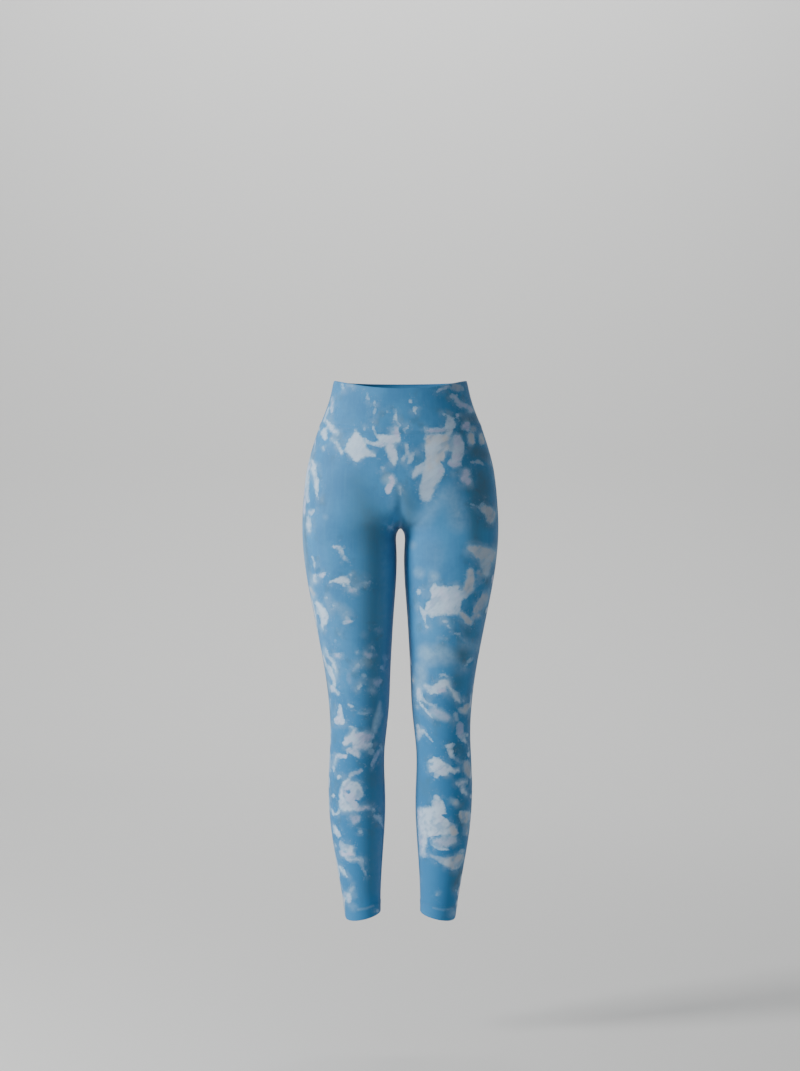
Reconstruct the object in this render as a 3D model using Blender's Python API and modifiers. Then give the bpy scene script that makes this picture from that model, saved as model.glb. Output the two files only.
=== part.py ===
"""Full-length stretch leggings with a high waistband, in the hollow form in which they are worn.

Metres, +Z up. The front faces -Y and the wearer's left leg is at +X. The origin is the middle of
the waist, level with the top edge at the side seams, where the wearer holds the garment.

The cloth lies on one smooth surface. Its cage has a row of points for each section of the body,
from the waist to the hems. Above the crotch a row runs round half of the trunk, from the centre
front by the side to the centre back. Below it a row is the ring of one leg, from the inseam by
the front, the side and the back to the inseam again.
"""

import math
from collections import namedtuple

import bmesh
import bpy
from mathutils import Vector

# Cloth and seams.
BODY_WALL = 0.0012
BAND_WALL = 0.0024  # the waistband is double
HEM_WALL = 0.0018  # the turned-up hem is double too
HEM_HEIGHT = -0.927  # the hem is sewn down along this row
SEAM_GAP = 0.0003

# The cage.
COLUMNS = 16  # strips round one half, from the centre front or inseam to the centre back or inseam
SMOOTHING = 1  # levels of subdivision

BLUE = (0.085, 0.255, 0.405, 1.0)
PALE_BLUE = (0.115, 0.300, 0.455, 1.0)
CLOTH_ROUGHNESS = 0.8

# One row for each section, at real size:
#   side                  height at the side seam
#   front_end, back_end   heights at the centre front and centre back, or at the inseam
#   pitch                 how far the row falls at the front of a leg and rises at its back
#   curl                  0 is the trunk's half outline, 1 is the closed ring of a leg
#   inner, middle, outer  across: a leg's inner side, the outline's centre and its outer side
#   front, back           the foremost and hindmost places
#   square                2 is an ellipse, and more is fuller at its corners
#   crowd                 1 spaces the points evenly, and more crowds them towards the ends
#   turn                  degrees by which the inseam lies forward on the inner side
Section = namedtuple(
    "Section",
    "side front_end back_end pitch curl inner middle outer front back square crowd turn",
)
BAND_SECTIONS = [
    Section(0.000, -0.018, 0.000, 0, 0.00, 0, 0.000, 0.1182, -0.0850, 0.0850, 2.10, 1.25, 0),
    Section(-0.030, -0.046, -0.029, 0, 0.00, 0, 0.000, 0.1245, -0.0910, 0.0900, 2.15, 1.25, 0),
    Section(-0.058, -0.074, -0.057, 0, 0.00, 0, 0.000, 0.1340, -0.0960, 0.0960, 2.21, 1.25, 0),
    Section(-0.0825, -0.0996, -0.083, 0, 0.00, 0, 0.000, 0.1442, -0.0990, 0.1020, 2.28, 1.25, 0),
]
BODY_SECTIONS = [
    Section(-0.114, -0.134, -0.120, 0, 0.00, 0, 0.000, 0.1545, -0.1000, 0.1085, 2.37, 1.25, 0),
    Section(-0.147, -0.170, -0.161, 0, 0.04, 0, 0.007, 0.1638, -0.0995, 0.1135, 2.43, 1.25, 0),
    Section(-0.178, -0.203, -0.200, 0, 0.15, 0, 0.024, 0.1690, -0.0980, 0.1155, 2.45, 1.25, 0),
    Section(-0.205, -0.230, -0.230, 0, 0.33, 0.001, 0.046, 0.1716, -0.0960, 0.1140, 2.45, 1.2, 0),
    Section(-0.227, -0.2475, -0.2485, 0, 0.55, 0.003, 0.064, 0.1731, -0.0942, 0.1095, 2.44, 1.15, 0),
    Section(-0.245, -0.2575, -0.258, 0, 0.80, 0.005, 0.0765, 0.1739, -0.0928, 0.1048, 2.42, 1.08, 0),
    Section(-0.262, -0.2616, -0.2616, 0, 1, 0.006, 0.084, 0.1740, -0.0914, 0.0996, 2.40, 1.03, 0),
    Section(-0.284, -0.274, -0.274, 0, 1, 0.0062, 0.087, 0.1732, -0.0900, 0.0938, 2.38, 1, 0),
    Section(-0.313, -0.302, -0.302, 0, 1, 0.0063, 0.0875, 0.1705, -0.0885, 0.0870, 2.33, 1, 0),
    Section(-0.355, -0.348, -0.348, 0, 1, 0.0072, 0.086, 0.1645, -0.0860, 0.0790, 2.24, 1, 0),
    Section(-0.408, -0.404, -0.404, 0, 1, 0.0115, 0.083, 0.1540, -0.0825, 0.0725, 2.14, 1, 1),
    Section(-0.464, -0.462, -0.462, 0, 1, 0.0150, 0.079, 0.1428, -0.0780, 0.0665, 2.08, 1, 3),
    Section(-0.520, -0.520, -0.520, 0, 1, 0.0180, 0.075, 0.1325, -0.0725, 0.0610, 2.05, 1, 5),
    Section(-0.570, -0.570, -0.570, 0, 1, 0.0195, 0.073, 0.1265, -0.0670, 0.0560, 2.05, 1, 8),
    Section(-0.616, -0.616, -0.616, 0, 1, 0.0240, 0.074, 0.1237, -0.0610, 0.0525, 2.05, 1, 11),
    Section(-0.660, -0.660, -0.660, 0, 1, 0.0285, 0.077, 0.1250, -0.0550, 0.0545, 2.05, 1, 14),
    Section(-0.705, -0.705, -0.705, 0, 1, 0.0278, 0.077, 0.1272, -0.0500, 0.0600, 2.05, 1, 17),
    Section(-0.750, -0.750, -0.750, 0, 1, 0.0264, 0.0765, 0.1268, -0.0460, 0.0630, 2.05, 1, 18),
    Section(-0.800, -0.800, -0.800, 0, 1, 0.0284, 0.0755, 0.1225, -0.0420, 0.0580, 2.05, 1, 18),
    Section(-0.850, -0.850, -0.850, 0, 1, 0.0320, 0.073, 0.1140, -0.0390, 0.0490, 2.05, 1, 17),
    Section(-0.895, -0.892, -0.892, 0.001, 1, 0.0343, 0.070, 0.1060, -0.0370, 0.0410, 2.05, 1, 16),
    Section(-0.931, -0.923, -0.923, 0.003, 1, 0.0352, 0.0676, 0.1000, -0.0360, 0.0380, 2.05, 1, 15),
    Section(-0.951, -0.941, -0.941, 0.005, 1, 0.0352, 0.0662, 0.0972, -0.0360, 0.0380, 2.05, 1, 15),
]
CROTCH_HEIGHT = -0.2616  # sections whose ends lie no lower than this meet those of the other half
DRAWING_IN = 8  # how narrowly their ends are drawn to the middle line

# The soft groove where the front of each thigh meets the belly, from the crotch up and outwards.
GROIN_FOOT = (0.012, -0.262)
GROIN_TOP = (0.060, -0.182)
GROIN_DEPTH = 0.005
GROIN_HALF_WIDTH = 0.015

Panel = namedtuple("Panel", "name wall colour")
PANELS = [
    Panel("waistband_front", BAND_WALL, PALE_BLUE),
    Panel("waistband_back", BAND_WALL, PALE_BLUE),
    Panel("front", BODY_WALL, BLUE),
    Panel("back_left", BODY_WALL, BLUE),
    Panel("back_right", BODY_WALL, BLUE),
]


def clear_scene():
    for thing in list(bpy.data.objects):
        bpy.data.objects.remove(thing, do_unlink=True)


def groin(x, z):
    """How far the groove draws the front of the cloth in at a place."""
    run = GROIN_TOP[0] - GROIN_FOOT[0]
    rise = GROIN_TOP[1] - GROIN_FOOT[1]
    length = math.hypot(run, rise)
    along = ((x - GROIN_FOOT[0]) * run + (z - GROIN_FOOT[1]) * rise) / length**2
    aside = ((x - GROIN_FOOT[0]) * rise - (z - GROIN_FOOT[1]) * run) / length
    if not 0 < along < 1:
        return 0.0
    return GROIN_DEPTH * math.sin(math.pi * along) * math.exp(-((aside / GROIN_HALF_WIDTH) ** 2))


def row_point(section, share, mirror):
    """The section's point at a share of the way from its front end to its back end."""

    def fuller(ratio):
        return math.copysign(abs(ratio) ** (2 / section.square), ratio)

    # The ends of the trunk's half outline lie on the middle line. They curl in under the outline
    # from one row to the next, until they meet in the crotch and the outline is a leg's ring.
    quarter = math.pi / 2
    way = 2 * share - 1
    way = math.copysign(1 - (1 - abs(way)) ** section.crowd, way)
    nearness = math.sin(quarter * way) ** 2
    angle = quarter * (1 + section.curl) * way + math.radians(section.turn) * nearness
    inner_reach = 0.0
    if section.curl > 0:
        inner_reach = (section.middle - section.inner) / fuller(math.sin(quarter * section.curl))
    across = fuller(math.cos(angle))
    x = section.middle + across * (section.outer - section.middle if across > 0 else inner_reach)
    if section.front_end >= CROTCH_HEIGHT:
        x -= section.inner * nearness**DRAWING_IN
    depth = (section.back - section.front) / 2
    y = section.front + depth * (1 + fuller(math.sin(angle)))
    end = section.front_end if share < 0.5 else section.back_end
    z = section.side + (end - section.side) * nearness
    z += section.pitch * math.sin(math.pi * way)
    if share < 0.5:
        y += groin(x, z)
    return Vector((mirror * x, y, z))


def panel_of(row, column, mirror):
    """Which panel a face of the cage belongs to."""
    is_front = column < COLUMNS // 2
    if row < len(BAND_SECTIONS) - 1:
        return 0 if is_front else 1
    if is_front:
        return 2
    return 3 if mirror > 0 else 4


def make_cage():
    """The whole garment as one coarse mesh, with each face marked by its panel's number."""
    sections = BAND_SECTIONS + BODY_SECTIONS
    cage = bmesh.new()
    for mirror in (1, -1):
        rows = [
            [
                cage.verts.new(row_point(section, i / COLUMNS, mirror))
                for i in range(COLUMNS + 1)
            ]
            for section in sections
        ]
        for r in range(len(sections) - 1):
            for c in range(COLUMNS):
                corners = [rows[r][c], rows[r + 1][c], rows[r + 1][c + 1], rows[r][c + 1]]
                face = cage.faces.new(corners[::mirror])
                face.material_index = panel_of(r, c, mirror)
                face.smooth = True
    # The halves meet at the centre lines, and each leg meets itself at its inseam.
    bmesh.ops.remove_doubles(cage, verts=cage.verts, dist=1e-6)
    mesh = bpy.data.meshes.new("cage")
    cage.to_mesh(mesh)
    cage.free()
    return mesh


def smooth_surface(mesh):
    """The garment's outer surface. It runs close by the sections' own points, because the cage
    is first moved out by as much as the smoothing draws it in."""
    guide = bpy.data.objects.new("cage", mesh)
    bpy.context.scene.collection.objects.link(guide)
    smoothing = guide.modifiers.new("smooth cloth", "SUBSURF")
    smoothing.levels = smoothing.render_levels = SMOOTHING
    smooth = guide.evaluated_get(bpy.context.evaluated_depsgraph_get()).data
    drawn_in = [vertex.co - smooth.vertices[i].co for i, vertex in enumerate(mesh.vertices)]
    for vertex, step in zip(mesh.vertices, drawn_in):
        vertex.co += step
    mesh.update()
    bpy.context.view_layer.update()
    evaluated = guide.evaluated_get(bpy.context.evaluated_depsgraph_get())
    surface = bpy.data.meshes.new_from_object(evaluated)
    bpy.data.objects.remove(guide)
    return surface


def with_wall(surface):
    """The surface with its inner side, still uncut, so that the panels meet squarely at seams."""
    cloth = bmesh.new()
    cloth.from_mesh(surface)
    weights = cloth.verts.layers.deform.verify()
    for vertex in cloth.verts:
        wall = max(PANELS[face.material_index].wall for face in vertex.link_faces)
        if vertex.co.z < HEM_HEIGHT:
            wall = HEM_WALL
        vertex[weights][0] = wall / BAND_WALL
    cloth.to_mesh(surface)
    cloth.free()

    guide = bpy.data.objects.new("cloth", surface)
    bpy.context.scene.collection.objects.link(guide)
    guide.vertex_groups.new(name="wall share")
    solidify = guide.modifiers.new("wall", "SOLIDIFY")
    solidify.thickness = BAND_WALL
    solidify.vertex_group = "wall share"
    solidify.offset = -1
    solidify.use_rim = False
    solidify.use_even_offset = True
    shell = bpy.data.meshes.new_from_object(
        guide.evaluated_get(bpy.context.evaluated_depsgraph_get())
    )
    bpy.data.objects.remove(guide)
    return shell


def cloth_material(panel):
    material = bpy.data.materials.new(panel.name)
    material.use_nodes = True
    shader = material.node_tree.nodes["Principled BSDF"]
    shader.inputs["Base Color"].default_value = panel.colour
    shader.inputs["Roughness"].default_value = CLOTH_ROUGHNESS
    shader.inputs["Metallic"].default_value = 0.0
    return material


def make_panel(number, shell, collection):
    """Cuts one panel out of both sides of the cloth, half a seam gap inside its own outline,
    and closes its cut edge."""
    panel = PANELS[number]
    cut = bmesh.new()
    cut.from_mesh(shell)
    others = [face for face in cut.faces if face.material_index != number]
    bmesh.ops.delete(cut, geom=others, context="FACES")
    margin = bmesh.ops.inset_region(
        cut, faces=cut.faces[:], thickness=SEAM_GAP / 2, use_boundary=True, use_even_offset=True
    )
    bmesh.ops.delete(cut, geom=margin["faces"], context="FACES")
    bmesh.ops.bridge_loops(cut, edges=[edge for edge in cut.edges if edge.is_boundary])
    bmesh.ops.recalc_face_normals(cut, faces=cut.faces[:])
    for face in cut.faces:
        face.material_index = 0
    mesh = bpy.data.meshes.new(panel.name)
    cut.to_mesh(mesh)
    cut.free()
    mesh.materials.append(cloth_material(panel))
    collection.objects.link(bpy.data.objects.new(panel.name, mesh))


def make_leggings():
    clear_scene()
    collection = bpy.data.collections.new("leggings")
    bpy.context.scene.collection.children.link(collection)
    shell = with_wall(smooth_surface(make_cage()))
    for number in range(len(PANELS)):
        make_panel(number, shell, collection)


make_leggings()
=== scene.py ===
import math
import random
from collections import namedtuple

import bmesh
import bpy
import numpy as np
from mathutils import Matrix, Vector
from mathutils.bvhtree import BVHTree


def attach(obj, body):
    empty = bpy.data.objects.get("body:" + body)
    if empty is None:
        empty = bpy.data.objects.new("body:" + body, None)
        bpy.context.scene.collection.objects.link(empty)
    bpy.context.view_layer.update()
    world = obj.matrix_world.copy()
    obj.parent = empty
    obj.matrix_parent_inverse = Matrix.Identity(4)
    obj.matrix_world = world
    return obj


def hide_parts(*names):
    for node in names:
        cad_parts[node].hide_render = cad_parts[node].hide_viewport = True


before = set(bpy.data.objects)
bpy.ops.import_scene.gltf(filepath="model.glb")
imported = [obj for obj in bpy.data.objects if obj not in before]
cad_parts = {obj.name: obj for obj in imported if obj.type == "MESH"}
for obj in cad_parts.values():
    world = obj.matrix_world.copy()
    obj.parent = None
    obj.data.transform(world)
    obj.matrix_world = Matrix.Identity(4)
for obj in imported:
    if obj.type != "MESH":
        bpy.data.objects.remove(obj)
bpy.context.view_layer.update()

# Studio. The camera stands level, 4 m in front of the garment, as far up as the middle of the
# picture. A pale floor sweeps up into the backdrop, which has its own light. One large soft light
# stands at the front left, so that the right side of each leg falls into shade.
CAMERA_DISTANCE = 4.0
CAMERA_HEIGHT = -0.274
CAMERA_ASIDE = -0.0007
VIEW_HEIGHT = 1.901
SENSOR_HEIGHT = 36.0
GARMENT_MIDDLE = (0, 0, -0.47)
ROOM_COLOUR = (0.94, 0.97, 1.0, 1.0)
ROOM_LIGHT = 0.32
FLOOR_HEIGHT = -1.170
FLOOR_SIZE = 14.0
BACKDROP_BEHIND = 5.2
BACKDROP_HEIGHT = 5.0
BACKDROP_SWEEP = 1.2
PAPER_COLOUR = (0.78, 0.78, 0.77, 1.0)


def deselect_all():
    for thing in bpy.context.selected_objects:
        thing.select_set(False)


def add_object(name, data):
    thing = bpy.data.objects.new(name, data)
    bpy.context.scene.collection.objects.link(thing)
    return thing


camera = add_object("camera", bpy.data.cameras.new("camera"))
camera.location = (CAMERA_ASIDE, -CAMERA_DISTANCE, CAMERA_HEIGHT)
camera.rotation_euler = (math.pi / 2, 0, 0)
camera.data.sensor_fit = "VERTICAL"
camera.data.sensor_height = SENSOR_HEIGHT
camera.data.lens = SENSOR_HEIGHT * CAMERA_DISTANCE / VIEW_HEIGHT
bpy.context.scene.camera = camera


def soft_light(name, place, aim, size, power, colour):
    light = add_object(name, bpy.data.lights.new(name, "AREA"))
    light.data.shape = "RECTANGLE"
    light.data.size, light.data.size_y = size
    light.data.energy = power
    light.data.color = colour
    light.location = place
    light.rotation_euler = (Vector(aim) - Vector(place)).to_track_quat("-Z", "Y").to_euler()


soft_light("key light", (-3.3, -1.6, 0.8), GARMENT_MIDDLE, (1.2, 2.0), 208, (1.0, 0.99, 0.97))
soft_light("wash on the backdrop", (0.0, 3.2, 3.6), (0, 5.0, 0.2), (4.0, 1.5), 135, (1, 1, 1))

world = bpy.data.worlds.new("room")
world.use_nodes = True
world.node_tree.nodes["Background"].inputs["Color"].default_value = ROOM_COLOUR
world.node_tree.nodes["Background"].inputs["Strength"].default_value = ROOM_LIGHT
bpy.context.scene.world = world

deselect_all()
floor_middle = (0, BACKDROP_BEHIND - FLOOR_SIZE / 2, FLOOR_HEIGHT)
bpy.ops.mesh.primitive_plane_add(size=FLOOR_SIZE, location=floor_middle)
backdrop = bpy.context.object
backdrop.name = "floor_and_backdrop"


def select_far_edge():
    """Edit the floor's far edge, where it turns up into the backdrop."""
    bpy.ops.object.mode_set(mode="EDIT")
    bpy.ops.mesh.select_mode(type="EDGE")
    bpy.ops.mesh.select_all(action="DESELECT")
    bpy.ops.object.mode_set(mode="OBJECT")
    for edge in backdrop.data.edges:
        ends = [backdrop.data.vertices[v].co for v in edge.vertices]
        edge.select = all(end.y > FLOOR_SIZE * 0.49 and end.z < 0.1 for end in ends)
    bpy.ops.object.mode_set(mode="EDIT")


select_far_edge()
bpy.ops.mesh.extrude_region_move(TRANSFORM_OT_translate={"value": (0, 0, BACKDROP_HEIGHT)})
bpy.ops.object.mode_set(mode="OBJECT")
select_far_edge()
bpy.ops.mesh.bevel(offset=BACKDROP_SWEEP, segments=24)
bpy.ops.object.mode_set(mode="OBJECT")
bpy.ops.object.shade_smooth()
paper = bpy.data.materials.new("backdrop paper")
paper.use_nodes = True
paper_shader = paper.node_tree.nodes["Principled BSDF"]
paper_shader.inputs["Base Color"].default_value = PAPER_COLOUR
paper_shader.inputs["Roughness"].default_value = 0.9
backdrop.data.materials.append(paper)

# The worn form of the cloth. The knit is worn stretched and smooth, so all the panels lie on one
# surface: a row of points for each section from the waist to the hems. Above the crotch a row runs
# round half of the trunk from the centre front to the centre back, and below it round a leg.
COLUMNS = 16  # strips round one half
COLUMN_WIDTH = 0.031  # of the cloth's own width, on the grain map
SIDE_SEAM = COLUMNS // 2 * COLUMN_WIDTH  # its place across, on the grain map
FINENESS = 3  # levels of subdivision
LONG_STRIP = 0.004  # strips longer than this are halved once more

# The columns, at real size:
#   side                  height at the side seam
#   front_end, back_end   heights at the centre front and centre back, or at the inseam
#   inner, middle, outer  across: a leg's inner side, the outline's centre and its outer side
#   front, back           the foremost and hindmost places
#   square                2 is an ellipse, and more is fuller at its corners
#   curl                  0 is the trunk's half outline, 1 is the closed ring of a leg
#   crowd                 1 spaces the points evenly, and more crowds them towards the ends
#   turn                  degrees by which the inseam lies forward on the inner side
#   pitch                 how far the row falls at the front of a leg and rises at its back
Section = namedtuple(
    "Section",
    "side front_end back_end inner middle outer front back square curl crowd turn pitch",
    defaults=(1, 1, 0, 0),
)
BAND_SECTIONS = [
    Section(0.000, -0.018, 0.000, 0, 0.000, 0.1182, -0.0850, 0.0850, 2.10, 0.00, 1.25),
    Section(-0.030, -0.046, -0.029, 0, 0.000, 0.1245, -0.0910, 0.0900, 2.15, 0.00, 1.25),
    Section(-0.058, -0.074, -0.057, 0, 0.000, 0.1340, -0.0960, 0.0960, 2.21, 0.00, 1.25),
    Section(-0.0825, -0.0996, -0.083, 0, 0.000, 0.1442, -0.0990, 0.1020, 2.28, 0.00, 1.25),
]
BODY_SECTIONS = [
    Section(-0.114, -0.134, -0.120, 0, 0.000, 0.1545, -0.1000, 0.1085, 2.37, 0.00, 1.25),
    Section(-0.147, -0.170, -0.161, 0, 0.007, 0.1638, -0.0995, 0.1135, 2.43, 0.04, 1.25),
    Section(-0.178, -0.203, -0.200, 0, 0.024, 0.1690, -0.0980, 0.1155, 2.45, 0.15, 1.25),
    Section(-0.205, -0.230, -0.230, 0.001, 0.046, 0.1716, -0.0960, 0.1140, 2.45, 0.33, 1.2),
    Section(-0.227, -0.2475, -0.2485, 0.003, 0.064, 0.1731, -0.0942, 0.1095, 2.44, 0.55, 1.15),
    Section(-0.245, -0.2575, -0.258, 0.005, 0.0765, 0.1739, -0.0928, 0.1048, 2.42, 0.80, 1.08),
    Section(-0.262, -0.2616, -0.2616, 0.006, 0.084, 0.1740, -0.0914, 0.0996, 2.40, 1, 1.03),
    Section(-0.284, -0.274, -0.274, 0.0080, 0.087, 0.1732, -0.0900, 0.0938, 2.38),
    Section(-0.313, -0.302, -0.302, 0.0066, 0.0875, 0.1705, -0.0885, 0.0870, 2.33),
    Section(-0.355, -0.348, -0.348, 0.0072, 0.086, 0.1645, -0.0860, 0.0790, 2.24),
    Section(-0.408, -0.404, -0.404, 0.0115, 0.083, 0.1540, -0.0825, 0.0725, 2.14, 1, 1, 1),
    Section(-0.464, -0.462, -0.462, 0.0150, 0.079, 0.1428, -0.0780, 0.0665, 2.08, 1, 1, 3),
    Section(-0.520, -0.520, -0.520, 0.0180, 0.075, 0.1325, -0.0725, 0.0610, 2.05, 1, 1, 5),
    Section(-0.570, -0.570, -0.570, 0.0195, 0.073, 0.1265, -0.0670, 0.0560, 2.05, 1, 1, 8),
    Section(-0.616, -0.616, -0.616, 0.0240, 0.074, 0.1237, -0.0610, 0.0525, 2.05, 1, 1, 11),
    Section(-0.660, -0.660, -0.660, 0.0285, 0.077, 0.1250, -0.0550, 0.0545, 2.05, 1, 1, 14),
    Section(-0.705, -0.705, -0.705, 0.0278, 0.077, 0.1272, -0.0500, 0.0600, 2.05, 1, 1, 17),
    Section(-0.750, -0.750, -0.750, 0.0264, 0.0765, 0.1268, -0.0460, 0.0630, 2.05, 1, 1, 18),
    Section(-0.800, -0.800, -0.800, 0.0284, 0.0755, 0.1225, -0.0420, 0.0580, 2.05, 1, 1, 18),
    Section(-0.850, -0.850, -0.850, 0.0320, 0.073, 0.1140, -0.0390, 0.0490, 2.05, 1, 1, 17),
    Section(-0.895, -0.892, -0.892, 0.0343, 0.070, 0.1060, -0.0370, 0.0410, 2.05, 1, 1, 16, 0.001),
    Section(-0.931, -0.923, -0.923, 0.0352, 0.0676, 0.1000, -0.0360, 0.0380, 2.05, 1, 1, 15, 0.003),
    Section(-0.951, -0.941, -0.941, 0.0352, 0.0662, 0.0972, -0.0360, 0.0380, 2.05, 1, 1, 15, 0.005),
]
SECTIONS = BAND_SECTIONS + BODY_SECTIONS
WAIST_SEAM = BAND_SECTIONS[-1].side
BAND_STITCHED = -0.068  # the top of the waistband's stitched edge
HEM_STITCHING = BODY_SECTIONS[-2].side
HEM_EDGE = BODY_SECTIONS[-1].side
CROTCH = BODY_SECTIONS[6]
DRAWING_IN = 8  # how narrowly the ends of the joined rows are drawn to the middle line
GROIN_FOOT = (0.012, -0.262)
GROIN_TOP = (0.060, -0.182)
GROIN_DEPTH = 0.003
GROIN_HALF_WIDTH = 0.022


def groin(x, z):
    """How far the soft groove between belly and thigh draws the front of the cloth in."""
    run = GROIN_TOP[0] - GROIN_FOOT[0]
    rise = GROIN_TOP[1] - GROIN_FOOT[1]
    length = math.hypot(run, rise)
    along = ((x - GROIN_FOOT[0]) * run + (z - GROIN_FOOT[1]) * rise) / length**2
    aside = ((x - GROIN_FOOT[0]) * rise - (z - GROIN_FOOT[1]) * run) / length
    if not 0 < along < 1:
        return 0.0
    return GROIN_DEPTH * math.sin(math.pi * along) * math.exp(-((aside / GROIN_HALF_WIDTH) ** 2))


def row_point(section, share, mirror):
    """The section's point at a share of the way from its front end to its back end."""

    def fuller(ratio):
        return math.copysign(abs(ratio) ** (2 / section.square), ratio)

    quarter = math.pi / 2
    way = 2 * share - 1
    way = math.copysign(1 - (1 - abs(way)) ** section.crowd, way)
    nearness = math.sin(quarter * way) ** 2
    angle = quarter * (1 + section.curl) * way + math.radians(section.turn) * nearness
    inner_reach = 0.0
    if section.curl > 0:
        inner_reach = (section.middle - section.inner) / fuller(math.sin(quarter * section.curl))
    across = fuller(math.cos(angle))
    x = section.middle + across * (section.outer - section.middle if across > 0 else inner_reach)
    if section.front_end >= CROTCH.front_end:
        x -= section.inner * nearness**DRAWING_IN
    depth = (section.back - section.front) / 2
    y = section.front + depth * (1 + fuller(math.sin(angle)))
    end = section.front_end if share < 0.5 else section.back_end
    z = section.side + (end - section.side) * nearness
    z += section.pitch * math.sin(math.pi * way)
    if share < 0.5:
        y += groin(x, z)
    return Vector((mirror * x, y, z))


def coarse_cloth():
    """The cage of the whole garment. Its map gives each point's place round the half and the
    height of its section at the side seam, so the map's upright lines are the knit's grain."""
    cage = bmesh.new()
    grain = cage.loops.layers.uv.new("grain")
    for mirror in (1, -1):
        rows = [
            [cage.verts.new(row_point(section, c / COLUMNS, mirror)) for c in range(COLUMNS + 1)]
            for section in SECTIONS
        ]
        for r in range(len(SECTIONS) - 1):
            for c in range(COLUMNS):
                corners = [(r, c), (r + 1, c), (r + 1, c + 1), (r, c + 1)][::mirror]
                face = cage.faces.new([rows[i][j] for i, j in corners])
                face.smooth = True
                for loop, (i, j) in zip(face.loops, corners):
                    loop[grain].uv = (mirror * j * COLUMN_WIDTH, SECTIONS[i].side)
    bmesh.ops.remove_doubles(cage, verts=cage.verts, dist=1e-6)
    mesh = bpy.data.meshes.new("coarse cloth")
    cage.to_mesh(mesh)
    cage.free()
    return mesh


def smooth_cloth(mesh):
    """The surface through the sections' points, with its long strips halved for a finer dye."""
    guide = add_object("cloth guide", mesh)
    smoothing = guide.modifiers.new("smooth cloth", "SUBSURF")
    smoothing.levels = smoothing.render_levels = FINENESS
    smoothing.uv_smooth = "NONE"
    smooth = guide.evaluated_get(bpy.context.evaluated_depsgraph_get()).data
    drawn_in = [vertex.co - smooth.vertices[i].co for i, vertex in enumerate(mesh.vertices)]
    for vertex, step in zip(mesh.vertices, drawn_in):
        vertex.co += step
    mesh.update()
    bpy.context.view_layer.update()
    cloth = bmesh.new()
    cloth.from_mesh(guide.evaluated_get(bpy.context.evaluated_depsgraph_get()).data)
    bpy.data.objects.remove(guide)
    bpy.data.meshes.remove(mesh)
    grain = cloth.loops.layers.uv["grain"]
    long_edges = set()
    for face in cloth.faces:
        heights = [loop[grain].uv.y for loop in face.loops]
        low = min(heights)
        strip = max(heights) - low
        if strip > LONG_STRIP or low < HEM_STITCHING or WAIST_SEAM <= low < BAND_STITCHED:
            for loop in face.loops:
                if abs(loop[grain].uv.y - loop.link_loop_next[grain].uv.y) > strip / 2:
                    long_edges.add(loop.edge)
    bmesh.ops.subdivide_edges(cloth, edges=list(long_edges), cuts=1, use_grid_fill=True)
    return cloth


cloth = smooth_cloth(coarse_cloth())

# Creases. The knit is stretched too tight for real folds, but it gives a little where it bends:
# whiskers at the crotch, a fold under the seat, fine ones behind the knees and at the ankles. Each
# is a soft trough: across and down for both its ends, its depth and half its width, all in mm.
CREASES = {
    "front": [
        (11, 264, 72, 186, 2.6, 20),
        (-4, 262, -56, 180, 1.4, 30),
        (13, 266, 44, 243, 0.7, 4.5),
        (11, 278, 36, 270, 0.5, 3.5),
        (-12, 268, -40, 249, 0.6, 4.5),
        (-11, 281, -31, 276, 0.5, 3.5),
        (58, 607, 97, 601, 0.4, 5),
        (61, 657, 99, 662, 0.5, 5),
        (-60, 611, -99, 606, 0.4, 5),
        (-58, 660, -94, 655, 0.5, 5),
        (52, 893, 84, 899, 0.4, 4),
        (-50, 897, -81, 892, 0.4, 4),
    ],
    "back": [
        (24, 293, 128, 283, 1.4, 9),
        (-22, 292, -126, 284, 1.3, 9),
        (54, 622, 101, 630, 1.1, 4),
        (47, 641, 108, 638, 1.3, 4.5),
        (59, 655, 98, 649, 0.9, 3.5),
        (-51, 625, -103, 631, 1.2, 4),
        (-49, 643, -106, 641, 1.1, 4.5),
        (-57, 659, -95, 652, 0.8, 3.5),
        (51, 881, 88, 887, 0.6, 3.5),
        (49, 902, 86, 899, 0.5, 3.5),
        (-48, 884, -86, 888, 0.6, 3.5),
        (-50, 905, -84, 901, 0.5, 3.5),
    ],
}
CREASE_ENDS = 0.35  # of its depth, left at its ends
CREASE_FADE = 3  # how sharply it ends where the cloth turns to the side
MM = 1000.0


def seen_from(side, places, normals):
    """Places as they are seen from the front or back, across and up in millimetres, and how
    squarely the cloth faces that way."""
    toward = -1.0 if side == "front" else 1.0
    nearer = CAMERA_DISTANCE / (CAMERA_DISTANCE - toward * places[:, 1])
    across = places[:, 0] * nearer * MM
    up = (CAMERA_HEIGHT + (places[:, 2] - CAMERA_HEIGHT) * nearer) * MM
    return across, up, toward * normals[:, 1]


def stretch_distance(across, up, start, end):
    """Distances from a straight stretch, and how far along it each nearest place is."""
    run, rise = end[0] - start[0], end[1] - start[1]
    length_squared = max(run * run + rise * rise, 1e-9)
    along = np.clip(((across - start[0]) * run + (up - start[1]) * rise) / length_squared, 0, 1)
    return np.hypot(across - start[0] - along * run, up - start[1] - along * rise), along


def places_and_normals(surface):
    surface.normal_update()
    places = np.array([vertex.co for vertex in surface.verts])
    normals = np.array([vertex.normal for vertex in surface.verts])
    return places, normals


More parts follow.
